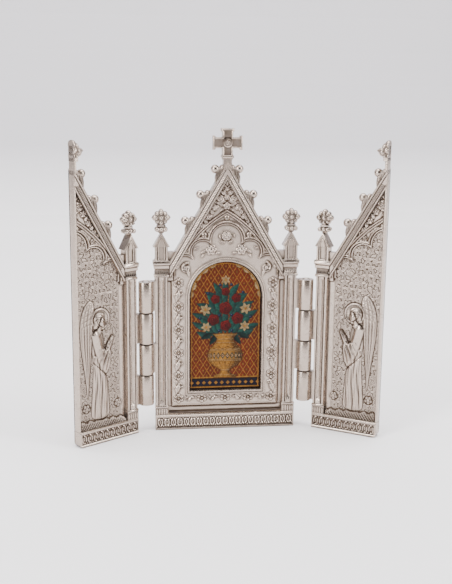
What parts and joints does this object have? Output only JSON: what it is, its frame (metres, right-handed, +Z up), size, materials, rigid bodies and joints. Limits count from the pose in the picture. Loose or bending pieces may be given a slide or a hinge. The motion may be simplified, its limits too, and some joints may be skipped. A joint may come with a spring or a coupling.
{
  "type": "triptych altarpiece",
  "caption": "Small cast-metal Gothic desk triptych: arched centre panel with a picture and cross, and two hinged wings with low-relief angels.",
  "frame": {"origin": "middle of the centre panel's underside, at half its thickness", "axes": "+X to the viewer's right along the centre panel, +Y to the back, +Z up"},
  "size_m": [0.0942, 0.0172, 0.094],
  "materials": {
    "silver_plate": "satin",
    "pin_steel": "satin",
    "picture_print": "gloss"
  },
  "bodies": {
    "centre": {"centre_panel": "silver_plate", "picture_plaque": "picture_print", "left_hinge_pin": "pin_steel", "right_hinge_pin": "pin_steel"},
    "left_wing": {"left_wing": "silver_plate"},
    "right_wing": {"right_wing": "silver_plate"}
  },
  "joints": [
    {"name": "left_wing_hinge", "type": "hinge", "parent": "centre", "child": "left_wing", "pos_m": [-0.02481, -0.0021, 0.0285], "axis": [0, 0, 1], "range_deg": [-86, 146]},
    {"name": "right_wing_hinge", "type": "hinge", "parent": "centre", "child": "right_wing", "pos_m": [0.02481, -0.0021, 0.0285], "axis": [0, 0, -1], "range_deg": [-86, 146]}
  ]
}
